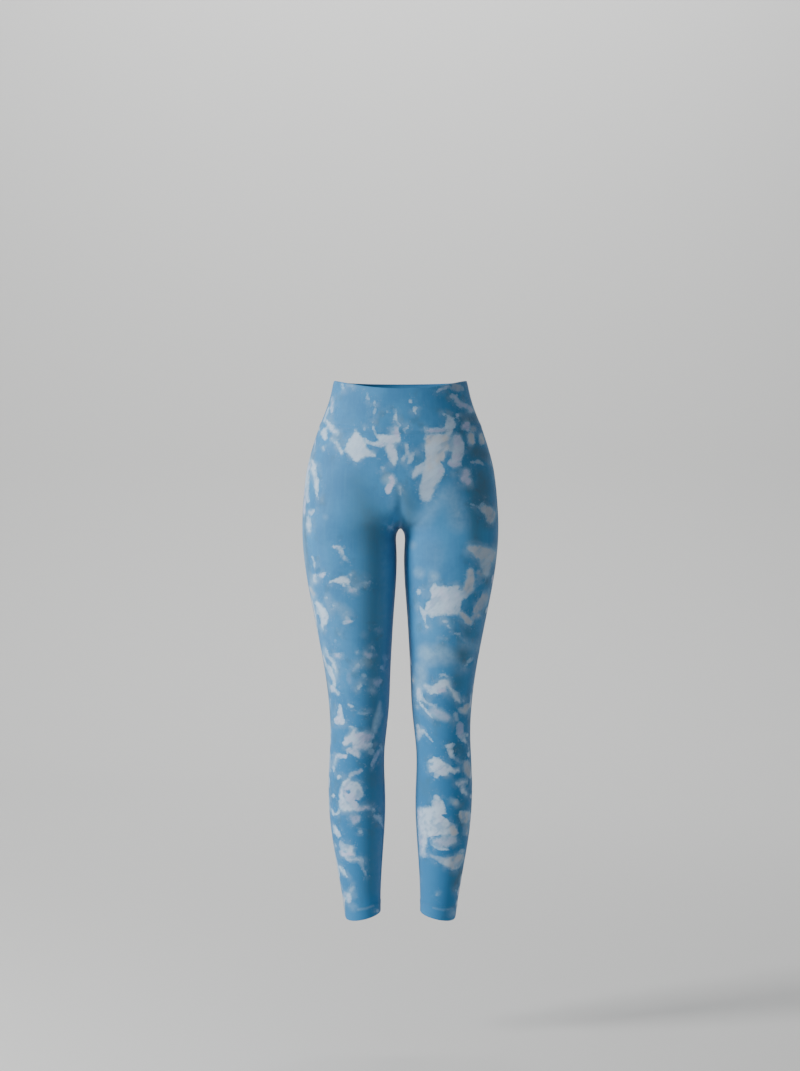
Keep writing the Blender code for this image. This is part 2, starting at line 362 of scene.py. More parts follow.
def press_creases(surface):
    places, normals = places_and_normals(surface)
    drop = np.zeros(len(places))
    for side, creases in CREASES.items():
        across, up, facing = seen_from(side, places, normals)
        for x0, down0, x1, down1, depth, half_width in creases:
            distance, along = stretch_distance(across, up, (x0, -down0), (x1, -down1))
            run_out = CREASE_ENDS + (1 - CREASE_ENDS) * np.sin(math.pi * along)
            trough = np.exp(-((distance / half_width) ** 2)) * run_out
            drop += depth / MM * trough * np.clip(facing * CREASE_FADE, 0, 1)
    for vertex, place, normal, depth in zip(surface.verts, places, normals, drop):
        vertex.co = place - normal * depth


press_creases(cloth)

# Doubled cloth stands a little proud: the waistband's lower edge, where its allowance is stitched
# down, and the turned-up hems, which also pucker into a low ridge over their stitching.
ALLOWANCE = 0.008
STEP = 0.0012  # over which the doubled cloth rises
BAND_RISE = 0.0006
HEM_RISE = 0.0004
HEM_RIDGE = 0.0006
RIDGE_HALF_WIDTH = 0.0022
RIDGE_ABOVE = 0.0015
SAME = 1e-5  # places on the grain map that are closer than this are one


def raise_doubled_cloth(surface):
    grain = surface.loops.layers.uv["grain"]
    surface.normal_update()
    for vertex in surface.verts:
        height = vertex.link_loops[0][grain].uv.y
        rise = 0.0
        if height > WAIST_SEAM - SAME:
            rise += BAND_RISE * min(1, max(0, (WAIST_SEAM + ALLOWANCE + STEP - height) / STEP))
        rise += HEM_RISE * min(1, max(0, (HEM_STITCHING - height) / STEP))
        off_ridge = (height - HEM_STITCHING - RIDGE_ABOVE) / RIDGE_HALF_WIDTH
        rise += HEM_RIDGE * math.exp(-(off_ridge**2))
        vertex.co += vertex.normal * rise


raise_doubled_cloth(cloth)

# Tie-dye. The cloth is dyed blue, and stays white or grey-white where the dye didn't reach. Each
# blot is a chain of places on the garment as it is seen from the front: across from the middle
# line, down from the waist and half the width there, all in millimetres, as charted.
#   white   how much of the dye is missing, or how strong a cloud or pool is, painted light and shade among them
#   blur    how softly the blot ends
#   tint    1 is lilac, -1 is grey
Blot = namedtuple("Blot", "path white blur tint", defaults=(0.9, 1.6, 0.0))
LILAC = 1.0
GREY = -1.0


def charted(*rows):
    """Blots from rows that each give some places, and then what differs from a plain blot."""
    blots = []
    for row in rows:
        path = [(place[0], -place[1], place[2]) for place in row if isinstance(place, tuple)]
        blots.append(Blot(path, *row[len(path) :]))
    return blots


WHITES = charted(
    # The waistband.
    ((-103, 4, 1.8), (-102, 15, 2.2)),
    ((-95, 7, 2), (-85, 8, 3), 0.3, 3),
    ((-59, 22, 1.5), (-58, 32, 3), 0.7),
    ((-46, 35, 1.6), (-46, 42, 2.4), 0.6),
    ((-45, 50, 1.4), (-47, 56, 2.6), 0.45, 2.2),
    ((-48, 66, 0.9), (-48, 78, 1.1), (-48, 84, 1.8), (-46, 91, 1.4), (-42, 97, 1.8), 0.75, 1.2),
    ((-23, 54, 1.6), 0.4),
    ((-64, 84, 3), 0.5, 2),
    ((-8, 52, 1.4), (-8, 60, 2), (-9, 67, 4), (-6, 70, 2), 0.85),
    ((-5, 76, 2), (0, 78, 2), 0.6),
    ((-8, 84, 5), (-7, 92, 5), (-5, 99, 4), 0.9, 1.8, LILAC),
    ((-15, 84, 2), (-13, 92, 3), 0.6),
    ((-121, 30, 2), (-121, 50, 2.5), (-122, 56, 2), 0.8, 1.6, LILAC),
    ((-128, 48, 1.6), (-133, 60, 2), (-136, 70, 2.2)),
    ((-130, 72, 3), (-126, 78, 5), (-121, 84, 6), (-117, 91, 3), 0.9, 1.8),
    ((-134, 86, 4), (-136, 93, 6), (-134, 100, 4), 0.85, 2),
    ((-115, 88, 4), (-112, 94, 2.5), 0.8, 1.4),
    ((18, 35, 3), 0.7),
    ((26, 49, 4), (24, 52, 3), (27, 57, 1.6), 1.0, 1.2),
    ((30, 47, 1.8), 0.8),
    ((12, 82, 1.6), (13, 80, 1.8), 0.8),
    ((7, 85, 2), (8, 92, 1.6), 0.4),
    ((65, 19, 2), (70, 15, 3), (78, 12, 3), (84, 8, 3), 0.7, 2.2, LILAC),
    ((96, 10, 7), (103, 12, 7), (108, 14, 4), 0.5, 2.5, GREY),
    ((91, 27, 4), (97, 29, 5), (101, 36, 4.5), (108, 42, 4.5), 0.66, 1.2, 0.3),
    ((108, 42, 4.5), (117, 44, 4), (124, 49, 4.5), (131, 52, 2), 0.62, 1.4, LILAC),
    ((123, 54, 4), 0.5, 2.5),
    ((76, 58, 2.5), (80, 60, 2), 0.75),
    ((86, 62, 4), (88, 70, 7), (87, 80, 8), (86, 88, 8), 0.85, 1.8),
    ((93, 75, 5), (96, 79, 3), 0.8),
    ((102, 60, 4), (106, 59, 2), 0.8, 1.6, LILAC),
    ((104, 70, 1.8), 0.7),
    ((112, 82, 4), (117, 76, 5), (120, 74, 4), (118, 83, 5), 0.8, 2, LILAC),
    ((130, 85, 6), 0.4, 4, GREY),
    ((43, 82, 1.6), (45, 90, 2), (47, 95, 2), 0.8),
    ((50, 88, 4), (63, 88, 4), (75, 87, 4), 0.75, 2, LILAC),
    # The hips.
    ((-122, 103, 2), (-113, 110, 4), (-108, 118, 4), (-105, 125, 3), (-104, 130, 1.6)),
    ((-137, 118, 3), (-136, 122, 2), 0.6),
    ((-154, 112, 2), (-153, 124, 2), 0.5),
    ((-80, 87, 2), (-79, 97, 7), (-79, 108, 13), (-79, 118, 18), 1.0, 1.4),
    ((-79, 118, 18), (-77, 128, 14), (-77, 137, 7), 1.0, 1.8),
    ((-62, 127, 7), (-52, 129, 5), (-46, 131, 3), 0.9, 2.4),
    ((-63, 101, 1.6), (-57, 108, 3), (-46, 112, 4), (-34, 111, 6), 0.9, 1.4, 0.4),
    ((-39, 98, 3), (-30, 103, 8), (-12, 103, 9), (-5, 105, 6), 0.95, 1.2),
    ((-18, 118, 9), (-14, 130, 9), (-12, 140, 7), (-11, 146, 4), 0.95, 1.8),
    ((-31, 155, 4), 0.4, 3),
    ((-16, 172, 6), (-12, 178, 5), (-19, 186, 6), (-22, 194, 5), 0.95, 2, LILAC),
    ((-1, 188, 3), (0, 200, 2), 0.4, 3),
    ((-158, 140, 3), (-154, 148, 5), (-155, 158, 5), (-152, 168, 4), 0.95, 2),
    ((-152, 168, 4), (-150, 178, 5), (-149, 188, 4), (-149, 198, 2.5), (-146, 210, 1.5)),
    ((-165, 165, 3), (-166, 185, 3), (-167, 200, 5), (-165, 212, 3), 0.7, 2.5),
    ((-159, 233, 5), (-155, 230, 3), 0.7, 2.5),
    ((-163, 243, 3), (-163, 254, 5), (-162, 266, 4), 0.8, 2.5),
    ((-118, 294, 2), (-109, 295, 4), (-105, 301, 3), 0.9, 1.8, LILAC),
    ((-105, 301, 3), (-103, 308, 2), (-98, 315, 3), (-95, 318, 1.5), 0.7),
    ((-156, 312, 1.6), (-153, 322, 2.5), (-152, 330, 1.6), 0.75),
    ((-22, 259, 2), (-16, 260, 4), (-13, 263, 2), 0.3, 3),
    ((125, 97, 7), (126, 107, 7), 0.75, 2.6, GREY),
    ((143, 97, 5), (146, 107, 6), 0.75, 2.6, GREY),
    ((52, 104, 9), (64, 104, 11), (79, 103, 9), 0.92, 1.8, -0.6),
    ((50, 117, 9), (64, 118, 13), (78, 117, 10), 0.92, 1.8, -0.5),
    ((55, 131, 9), (69, 130, 12), (66, 142, 12), 0.9, 2, -0.7),
    ((101, 103, 9), (103, 117, 11), (102, 130, 11), (97, 141, 9), 0.85, 2.6, 0.4),
    ((89, 104, 6), (90, 118, 6), 0.45, 3, -0.4),
    ((60, 132, 14), (57, 150, 15), (54, 163, 15), (52, 177, 13), 0.9, 2.2, -0.5),
    ((42, 148, 4), (33, 157, 8), (27, 162, 6), (23, 170, 3), 0.8, 2),
    ((70, 150, 6), (72, 158, 7), (64, 172, 8), 0.8, 2.2),
    ((52, 177, 14), (46, 192, 13), (46, 203, 11), 0.75, 4.5),
    ((88, 146, 4), (96, 150, 4), (104, 147, 4), 0.7, 2.8, LILAC),
    ((116, 163, 9), (113, 171, 9), (120, 178, 8), 0.7, 6, LILAC),
    ((10, 112, 3), (11, 120, 3), (13, 128, 4), (18, 135, 4), 0.65, 2),
    ((18, 135, 4), (16, 143, 3), (14, 147, 1.6), 0.6, 2),
    ((22, 129, 3), (30, 127, 1.6), 0.5, 2),
    ((5, 138, 4), (7, 133, 2), 0.6, 2),
    ((3, 142, 2), 0.5),
    ((126, 144, 2), (130, 144, 3), (140, 143, 3), (145, 147, 1.6), 0.5, 1.8, GREY),
    ((125, 218, 1.5), (138, 223, 1.6), (145, 218, 1.5), (149, 213, 1.5), 0.45, 1.2),
    ((150, 227, 8), (158, 232, 9), (160, 245, 8), (165, 235, 6), 0.6, 5, GREY),
    ((124, 297, 6), (140, 303, 12), (158, 309, 13), 0.58, 6, GREY),
    ((151, 322, 11), (152, 340, 8), 0.5, 6, -0.6),
    # The thighs.
    ((-140, 345, 5), (-134, 341, 1.6), 0.85, 2, LILAC),
    ((-153, 345, 3), (-152, 355, 4), 0.85, 2),
    ((-125, 357, 2), (-115, 354, 3), (-103, 353, 8), (-95, 355, 6), 0.95, 2.2),
    ((-90, 345, 2), (-85, 341, 1.5), 0.7),
    ((-100, 362, 3), 0.8),
    ((-60, 361, 3), (-55, 356, 2), 0.4, 2),
    ((-88, 371, 5), (-80, 371, 4), (-75, 367, 2), 0.85, 2, LILAC),
    ((-155, 382, 2), 0.7),
    ((-132, 385, 3), 0.6, 2),
    ((-120, 397, 1.6), (-117, 399, 2.5), 0.8),
    ((-128, 396, 1.6), 0.35),
    ((-150, 393, 3), (-143, 400, 5), (-138, 408, 6), (-135, 418, 7), 0.95, 2),
    ((-135, 418, 7), (-136, 428, 6), (-139, 436, 3), (-137, 442, 1.6), 0.95, 2),
    ((-148, 405, 3), (-147, 415, 2), 0.8),
    ((-100, 429, 3), (-92, 427, 4), (-86, 426, 2), 0.85, 2, LILAC),
    ((-95, 420, 4), 0.4, 3),
    ((-108, 449, 1.6), 0.4),
    ((-117, 461, 2), 0.4),
    ((-133, 475, 2), (-130, 485, 2), 0.75),
    ((-130, 488, 2), (-122, 495, 3), (-118, 500, 4), (-116, 508, 4), (-114, 516, 3), 0.85, 2),
    ((-115, 487, 5), (-107, 488, 4), 0.6, 4, LILAC),
    ((-128, 505, 3), (-124, 515, 5), (-120, 522, 5), (-118, 530, 4), (-117, 538, 3), 0.85, 2.4),
    ((-122, 543, 4), (-120, 548, 3), 0.9, 2, LILAC),
    ((-120, 548, 3), (-115, 550, 2), (-110, 555, 2), 0.8),
    ((-77, 482, 3), 0.5, 2),
    ((-50, 473, 3.5), 0.5, 2),
    ((-62, 484, 5), (-55, 487, 6), 0.45, 2.4, LILAC),
    ((-75, 504, 4), 0.6, 2),
    ((-83, 512, 4), (-76, 506, 3), 0.4, 2.4),
    ((-65, 523, 4), 0.5, 2),
    ((-75, 545, 4), (-70, 538, 3), 0.6, 2),
    ((-92, 520, 4), (-90, 535, 4), 0.15, 3, LILAC),
    ((-42, 535, 7), (-38, 532, 5), 0.45, 2.6, LILAC),
    ((-33, 508, 3), (-30, 512, 2), 0.4, 2),
    ((-25, 493, 2), 0.4, 2),
    ((-43, 440, 3), 0.25, 3),
    ((-48, 550, 6), 0.3, 3),
    ((60, 362, 4), (62, 372, 10), (75, 385, 22), (75, 398, 16), (60, 400, 14), 1.0, 1.6),
    ((93, 385, 20), (96, 400, 12), (93, 408, 6), 0.9, 2.2),
    ((100, 369, 8), (110, 378, 10), 0.75, 3, -0.4),
    ((50, 408, 6), (43, 412, 4), (42, 420, 3), (43, 426, 2)),
    ((34, 400, 2), (38, 407, 2), (41, 415, 3)),
    ((33, 374, 5), 0.75, 2.2),
    ((55, 417, 3), (65, 415, 2), (100, 411, 3), 0.85, 1.4),
    ((112, 416, 6), (120, 426, 7), (124, 430, 5), 0.7, 2.4, GREY),
    ((130, 420, 4), (140, 416, 3), 0.6, 2.4, GREY),
    ((133, 408, 6), (142, 397, 9), (148, 384, 10), 0.62, 8, GREY),
    ((125, 336, 6), (125, 352, 8), (121, 368, 10), 0.8, 4, GREY),
    ((140, 340, 5), (146, 352, 5), 0.4, 5, GREY),
    ((44, 433, 2), (47, 437, 3), 0.6),
    ((76, 427, 3), (82, 426, 3), 0.65),
    ((84, 434, 2), (88, 437, 1.6), 0.7),
    ((95, 448, 1), (101, 449, 2.2), (105, 447, 1), 0.65, 1.2),
    ((108, 455, 0.9), (118, 464, 0.9), 0.45, 1.2),
    ((72, 457, 2), (82, 457, 2), 0.3, 2),
    ((115, 507, 2), (118, 500, 1.6), (122, 496, 3), (128, 493, 2), 0.6),
    ((70, 522, 2), (78, 521, 2), (84, 525, 1.6), 0.6),
    ((73, 537, 8), (82, 536, 7), (88, 545, 4), (93, 552, 4), (98, 558, 5), 0.95, 1.8),
    ((98, 558, 5), (100, 563, 6), (104, 569, 3), 0.85, 2),
    ((45, 540, 4), (52, 547, 6), (60, 545, 6), (68, 542, 6), 0.85, 2.4),
    ((45, 547, 2), (55, 552, 3), (65, 553, 2), 0.95, 1.3),
    ((70, 549, 5), (80, 550, 4), 0.7, 2.4, LILAC),
    ((33, 547, 5), (33, 558, 5), (34, 563, 4), 0.85, 2),
    # The knees.
    ((-108, 575, 1.6), (-107, 585, 4), (-108, 595, 6), (-110, 602, 8), (-104, 605, 6), 0.95, 1.5, 0.4),
    ((-92, 574, 2), (-86, 578, 2.5), 0.8),
    ((-75, 589, 2), (-65, 590, 3), (-55, 589, 1.6), 0.3, 2),
    ((-88, 614, 3), (-82, 618, 4), (-85, 628, 5), 0.85, 1.8),
    ((-99, 643, 4), (-93, 637, 7), (-84, 634, 9), (-75, 637, 12), 0.85, 1.8),
    ((-75, 635, 11), (-62, 632, 10), (-52, 630, 6), 0.8, 2.4, LILAC),
    ((-80, 648, 6), (-65, 648, 7), (-55, 645, 4), 0.85, 2),
    ((-92, 655, 5), (-84, 657, 6), (-76, 662, 5), (-74, 668, 2), 0.9, 1.8),
    ((-60, 651, 4), (-50, 646, 2), 0.8),
    ((-33, 655, 2), (-35, 645, 2), 0.5, 2),
    ((-52, 658, 6), 0.45, 3),
    ((-36, 655, 2), (-45, 668, 4), (-51, 683, 2), 0.5, 2.4, LILAC),
    ((-112, 665, 4), (-105, 665, 4), (-98, 666, 3), 0.9, 2, LILAC),
    ((-115, 672, 2.5), (-117, 680, 2), 0.85),
    ((-120, 664, 2), 0.7),
    ((-119, 685, 3), (-118, 692, 2), 0.85),
    ((-109, 702, 4), 0.8, 2),
    ((-69, 690, 2.5), (-78, 695, 4), (-89, 699, 3.5), 0.55, 3, 0.5),
    ((31, 568, 1.4), (38, 575, 1.8), (46, 585, 1.8), (52, 592, 1.8), (57, 598, 1.2), 0.95, 1.2),
    ((36, 560, 3), (42, 568, 2), (50, 573, 2), (61, 577, 3), 0.65, 2.2),
    ((58, 585, 6), (70, 592, 8), (84, 597, 6), 0.4, 7, LILAC),
    ((30, 578, 3), 0.5, 2),
    ((112, 567, 2), 0.8),
    ((118, 578, 6), (114, 586, 6), (107, 584, 5), 0.6, 3, GREY),
    ((98, 592, 4), (99, 600, 4), 0.5, 2.4),
    ((106, 612, 6), (106, 625, 6), 0.45, 3, LILAC),
    ((106, 625, 5), (110, 635, 4), (116, 641, 3), 0.8, 1.8),
    ((118, 628, 2.5), 0.8),
    ((31, 612, 3), (34, 622, 5), (33, 634, 3), 0.65, 2.4, -0.5),
    ((38, 618, 1.2), (46, 626, 1.3), (53, 634, 1.2), (57, 640, 0.8), 0.8, 1.2),
    ((38, 623, 4), 0.6, 2),
    ((80, 648, 2.5), (87, 648, 5), (94, 645, 3), 0.85, 1.6),
    ((89, 657, 5), (90, 665, 4), (94, 668, 2), 0.8, 1.8),
    ((100, 672, 4), (106, 677, 3), 0.4, 3),
    ((52, 676, 3), (60, 673, 5), (67, 676, 7), (75, 682, 7), (85, 688, 6), 0.95, 1.7),
    ((85, 688, 6), (95, 692, 5), (102, 690, 4), 0.85, 2),
    ((55, 684, 5), (62, 690, 5), (70, 694, 6), (80, 696, 5), 0.9, 2),
    ((62, 682, 6), (76, 689, 7), 0.9, 2, 0.4),
    ((62, 701, 3), (66, 703, 1.6), 0.8),
    ((53, 692, 2.5), 0.7),
    ((117, 680, 7), (120, 690, 8), (122, 698, 6), 0.6, 3.5, GREY),
    ((100, 714, 3), (107, 713, 5), (115, 711, 4), 0.85, 2),
    ((109, 720, 5), (112, 728, 5), (118, 733, 3), 0.8, 2.2),
    # The calves.
    ((-92, 708, 4), (-95, 715, 9), (-88, 719, 11), (-81, 722, 11), 0.85, 2.6),
    ((-90, 726, 13), (-86, 738, 14), (-82, 750, 8), 0.75, 4.5, 0.3),
    ((-79, 722, 10), (-73, 733, 8), 0.75, 4),
    ((-104, 722, 3), (-105, 735, 4), (-103, 745, 7), (-100, 756, 8), 0.95, 1.8),
    ((-100, 756, 8), (-90, 759, 5), (-76, 759, 4), 0.9, 1.8),
    ((-76, 759, 4), (-66, 758, 5), (-57, 757, 4), 0.8, 2, 0.6),
    ((-120, 736, 3), 0.8),
    ((-122, 760, 2), (-118, 770, 2), (-112, 768, 3), (-108, 763, 2), 0.85),
    ((-87, 774, 5), (-78, 776, 7), (-82, 784, 4), 0.5, 4.5, LILAC),
    ((-48, 761, 3.5), 0.7, 2),
    ((-46, 773, 3), (-42, 775, 4), 0.5, 3.5),
    ((-37, 774, 4), (-34, 785, 2), (-30, 792, 1.5), 0.6, 2),
    ((-71, 800, 4), 0.6, 2.4),
    ((-118, 790, 2.5), (-114, 799, 5), (-109, 807, 3), 0.95, 1.4),
    ((-106, 818, 3), 0.5, 2.4),
    ((-104, 823, 4), (-98, 828, 6), (-90, 830, 7), (-88, 835, 5), 0.9, 2),
    ((-105, 835, 4), (-102, 840, 5), (-92, 840, 5), (-85, 840, 3), 0.9, 2.2, 0.6),
    ((-95, 847, 3), (-85, 850, 4), (-75, 849, 4), (-69, 851, 3), 0.75, 2),
    ((-69, 851, 3), (-68, 858, 3), (-66, 865, 2.5), (-63, 871, 2), (-62, 877, 1.5), 0.5, 3, LILAC),
    ((-107, 862, 3), (-102, 870, 4), (-95, 880, 2), 0.95),
    ((-84, 898, 3), (-88, 903, 4), 0.35, 3.4),
    ((-93, 912, 4), (-91, 924, 3), 0.7, 2.4),
    ((-92, 918, 4.5), 0.95, 1.6),
    ((-98, 910, 3), 0.4, 2.4, LILAC),
    ((-41, 941, 3), 0.5, 2),
    ((63, 738, 4), (68, 742, 4), (72, 748, 3), 0.85, 1.8),
    ((60, 748, 5), (70, 755, 10), (60, 765, 12), (45, 772, 12), 0.95, 1.7),
    ((45, 772, 12), (42, 790, 10), (50, 800, 12), (65, 790, 14), 1.0, 1.6),
    ((65, 790, 14), (80, 795, 12), (75, 775, 10), (68, 765, 12), 0.95, 1.8),
    ((35, 758, 2), (45, 759, 2), (52, 764, 2)),
    ((40, 765, 6), (42, 785, 8), (44, 800, 8), (43, 815, 5), 1.0, 1.5),
    ((42, 815, 6), (41, 826, 5), (39, 836, 3), 0.95, 1.4),
    ((90, 792, 9), (95, 800, 8), 0.8, 3.5, GREY),
    ((59, 818, 4), (68, 819, 8), (80, 818, 10), (92, 815, 8), 0.66, 5, 0.3),
    ((54, 822, 1.4), (62, 828, 1.8), (72, 831, 1.6), (84, 831, 1.2), 1.0, 1.2),
    ((98, 748, 6), 0.5, 3, GREY),
    ((112, 770, 8), (115, 780, 7), (118, 768, 6), 0.75, 3, GREY),
    ((115, 795, 3), 0.4, 2.4),
    ((110, 835, 4), 0.5, 3),
    ((48, 840, 1.5), (58, 844, 2.5), (70, 849, 4), 0.4, 3),
    ((74, 851, 5), (84, 854, 9), (94, 855, 12), 0.78, 4.5, -0.4),
    ((94, 855, 12), (106, 846, 9), 0.7, 5, GREY),
    ((117, 792, 4), (118, 803, 4), 0.5, 3, GREY),
    ((99, 905, 2.5), 0.6, 2),
    ((43, 842, 3), 0.7),
    ((65, 912, 2), 0.3, 2),
    ((96, 945, 6), 0.25, 4),
    ((31, 760, 2), (33, 780, 2.5), (35, 812, 2.5), (37, 842, 2), 0.55, 2, LILAC),
)
# Faint clouds, where the dye is only thinner. Some rows are painted light instead: the right hip,
# the lit diagonal on the right thigh below the groin, a lighter band down the shaded inner half of
# the left leg and highlights along the ridges over the hem stitching.
CLOUDS_AND_PAINTED_LIGHT = charted(
    ((-127, 65, 5), 0.3, 4),
    ((-24, 175, 7), 0.6, 7),
    ((-14, 195, 4), (-16, 225, 4), 0.12, 6),
    ((-133, 241, 3), 0.3, 4),
    ((-84, 352, 9), (-66, 352, 11), 0.12, 7),
    ((-63, 358, 3), (-70, 362, 3), 0.35, 3),
    ((-118, 405, 7), (-104, 403, 8), 0.22, 6),
    ((-95, 412, 9), 0.25, 6),
    ((-60, 500, 8), 0.3, 6),
    ((-65, 450, 5), 0.2, 5),
    ((-46, 620, 4), (-42, 605, 6), (-38, 593, 6), (-37, 580, 3), (-36, 570, 1.5), 0.75, 3),
    ((-88, 910, 9), 0.35, 6),
    ((-83, 935, 6), 0.25, 5),
    ((95, 165, 6), 0.3, 5),
    ((103, 236, 3), 0.3, 4),
    # Painted light on the shaded right hip.
    ((92, 195, 10), (104, 250, 12), 0.34, 14),
    # Painted light: the lit diagonal on the right thigh below the groin.
    ((38, 252, 8), (56, 226, 10), (74, 204, 8), 0.24, 12),
    ((62, 300, 12), (62, 330, 10), 0.12, 14),
    # Painted light down the shaded inner half of the left leg.
    ((-26, 290, 8), (-27, 420, 8), (-27, 560, 8), (-36, 700, 9), (-38, 900, 9), 0.12, 8),
    ((22, 291, 6), 0.3, 5),
    ((130, 300, 12), (150, 312, 18), (165, 305, 12), 0.35, 9),
    ((33, 340, 8), 0.4, 6),
    ((60, 347, 8), 0.5, 6),
    ((45, 482, 12), (55, 488, 15), (65, 485, 15), (80, 487, 15), (92, 490, 8), 0.5, 10),
    ((45, 483, 9), 0.3, 8),
    ((35, 510, 9), (38, 525, 9), (35, 535, 9), 0.45, 7),
    ((110, 468, 9), (135, 470, 9), 0.28, 7),
    ((105, 512, 11), 0.22, 8),
    ((60, 590, 8), (70, 590, 8), (80, 598, 6), 0.55, 5),
    ((86, 814, 9), (97, 817, 8), 0.4, 6),
    ((92, 745, 5), (100, 751, 5), 0.45, 4),
    # Painted highlights along the ridges over the hem stitching, in this row and the next.
    ((58, 935, 1.2), (76, 939, 1.2), (92, 936, 1.2), 0.3, 1.5),
    ((-75, 938, 1.6), (-60, 936, 1.6), (-48, 931, 1.6), 0.4, 1.5),
)
# Islands of blue inside the white.
ISLANDS = charted(
    ((-55, 98, 5),),
    ((-60, 112, 0.8), (-52, 122, 0.8)),
    ((-147, 415, 1.5), (-144, 425, 2), (-143, 430, 1.2)),
    ((-125, 530, 2), (-122, 537, 2)),
    ((-98, 652, 1), (-91, 649, 0.8)),
    ((-99, 727, 2.2), (-91, 729, 3)),
    ((-80, 744, 1.4), (-71, 748, 3)),
    ((-115, 745, 3), (-115, 762, 3)),
    ((90, 8, 1.5),),
    ((135, 96, 2), (136, 110, 2)),
    ((74, 144, 3), (79, 150, 3), (80, 138, 2)),
    ((108, 402, 2), (120, 396, 7), (132, 384, 8), (140, 374, 6)),
    ((123, 406, 6),),
    ((107, 368, 4),),
    ((143, 352, 7),),
    ((95, 680, 6),),
    ((49, 815, 2), (52, 824, 3), (60, 833, 3.4)),
    ((60, 835, 3.4), (74, 838, 3.8), (92, 839, 4.4)),
    ((48, 811, 1.4), (58, 809, 0.7), (72, 808, 0.4)),
    ((75, 771, 2), (84, 773, 5), (92, 777, 7), (98, 779, 6)),
    ((88, 765, 5),),
    ((106, 797, 4), (106, 790, 4)),
)
# Pools, where the dye gathered and dried darker. Some rows are painted shade instead: the dark V above
# the crotch, the shaded belly and inner left thigh, the front of the right calf and the band down
# the shaded inner half of the left leg.
DYE_POOLS_AND_PAINTED_SHADE = charted(
    ((30, 138, 9), 0.35, 7),
    # Painted shade: the dark V between the thighs above the crotch.
    ((4, 192, 9), (13, 224, 12), (17, 252, 12), 0.62, 12),
    # Painted shade on the front of the right calf.
    ((38, 715, 7), (44, 730, 8), 0.4, 12),
    ((112, 80, 14), (116, 140, 18), (114, 180, 12), 0.22, 14),
    ((129, 195, 9), (133, 282, 11), 0.48, 9),
    # Painted shade over the left of the belly and the inner left thigh.
    ((-80, 180, 12), (-66, 225, 20), (-56, 262, 30), 0.46, 22),
    ((136, 126, 12), (146, 132, 10), 0.7, 7),
    ((142, 165, 12), (142, 210, 10), 0.55, 9),
    ((150, 180, 8), (154, 255, 8), 0.5, 8),
    ((112, 66, 8), (134, 66, 8), 0.5, 7),
    ((108, 875, 12), (98, 892, 9), 0.5, 8),
    ((148, 330, 8), (155, 355, 8), 0.4, 8),
    ((110, 485, 13), 0.6, 8),
    ((100, 535, 12), 0.35, 8),
    ((120, 445, 10), 0.4, 8),
    ((95, 655, 14), (105, 660, 10), 0.35, 8),
    ((106, 748, 8), (108, 806, 8), 0.35, 8),
    # Painted shade: the dark band down the shaded inner half of the left leg, in this row and the
    # next.
    ((-52, 240, 8), (-47, 300, 20), (-44, 420, 24), (-44, 560, 18), (-48, 700, 14), 0.46, 14),
    ((-48, 700, 14), (-50, 800, 14), (-54, 900, 12), 0.38, 13),
)
LAST_SQUARE = 0.25  # how squarely the cloth has to face a side for that side's blots to stay whole
TURNING_AWAY = 55.0  # millimetres by which they shrink as it turns further
FLANK_SQUARE = 0.95  # the same for the flanks, which carry blots from elsewhere on the chart
FLANK_TURNING = 130.0
FLANK_ASIDE = 88.0
FLANK_LIFT = 62.0
REACH = 30.0  # how far from a blot its distance is worked out
JOINING = 1.8  # how softly neighbouring blots run into each other
BACK_SEED = 11
FLANK_SEED = 23
BACK_SHARE = 0.86
BACK_LIFT = 24.0
OUTER_SHARE = 0.8
INNER_SHARE = 0.12  # the inner legs stay nearly blue
STRAY = 12.0
SWELL = (0.8, 1.35)
FAR_OFF = {"white": 0.7, "blur": 2.0, "tint": 0.0}  # what holds where no blot is near


# Clouds and pools go through this too, so their painted light and painted shade are copied onto the
# hidden sides as well.
def soaked_through(blots, seed, kept):
    """The dye soaks through a folded garment, so its hidden sides have nearly the same blots.
    Some are missing, and the rest are shifted and of other widths."""
    if seed is None:
        return blots
    chance = random.Random(seed)
    behind = []
    for blot in blots:
        aside, up = chance.uniform(-1, 1) * STRAY, chance.uniform(-1, 1) * STRAY
        swell = chance.uniform(*SWELL)
        if chance.random() < kept:
            path = [(x + aside, z + up, half * swell) for x, z, half in blot.path]
            behind.append(blot._replace(path=path))
    return behind


def sides_of_the_dye(places, normals):
    """The garment's sides in turn: where its points lie on the chart, by how many millimetres
    the blots have shrunk there, the seed of that side's strays and the share of blots on it."""
    for side, seed in (("front", None), ("back", BACK_SEED)):
        across, up, facing = seen_from(side, places, normals)
        turned = np.maximum(0, LAST_SQUARE - facing) * TURNING_AWAY
        if side == "back":
            across, up = -across, up + BACK_LIFT
        yield across, up, turned, seed, BACK_SHARE
    x, y, z = places.T * MM
    for outward, kept in ((1, OUTER_SHARE), (-1, INNER_SHARE)):
        facing = np.sign(x) * normals[:, 0] * outward
        across = np.sign(x) * outward * (y - FLANK_ASIDE)
        turned = np.maximum(0, FLANK_SQUARE - facing) * FLANK_TURNING
        yield across, z + FLANK_LIFT * outward, turned, FLANK_SEED + outward, kept


def blot_distance(blot, across, up):
    """Millimetres from a blot's edge, negative inside it."""
    ends = blot.path if len(blot.path) > 1 else blot.path * 2
    nearest = np.full(len(across), REACH)
    for start, end in zip(ends, ends[1:]):
        distance, along = stretch_distance(across, up, start, end)
        nearest = np.minimum(nearest, distance - start[2] - along * (end[2] - start[2]))
    return nearest


def in_reach(blot, across, up, turned):
    """The points near a blot."""
    xs = [place[0] for place in blot.path]
    zs = [place[1] for place in blot.path]
    wide = REACH + max(place[2] for place in blot.path)
    near = (turned < REACH) & (across > min(xs) - wide) & (across < max(xs) + wide)
    return np.nonzero(near & (up > min(zs) - wide) & (up < max(zs) + wide))[0]


